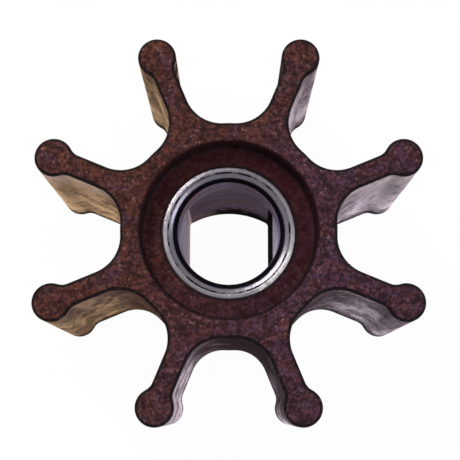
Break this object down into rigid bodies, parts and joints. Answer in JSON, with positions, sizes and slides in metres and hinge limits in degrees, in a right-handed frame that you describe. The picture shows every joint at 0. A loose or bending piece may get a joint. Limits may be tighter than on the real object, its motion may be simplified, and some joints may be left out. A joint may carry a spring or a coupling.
{
  "type": "pump impeller",
  "caption": "Flexible-vane pump impeller: a rubber hub with straight bulb-tipped radial vanes, moulded round a metal insert with a shaft bore and two drive flats.",
  "frame": {"origin": "on the bore axis, in the plane of the rubber hub's rear face", "axes": "+Z along the bore axis out of the front face, where the bore's round mouth is; the drive flats face +X and -X; the vanes lie 22.5 degrees either side of X and Y"},
  "size_m": [0.0606, 0.0606, 0.04],
  "materials": {
    "rubber": "matte",
    "insert_metal": "turned"
  },
  "bodies": {
    "root": {"rubber_body": "rubber", "drive_insert": "insert_metal"}
  },
  "joints": []
}
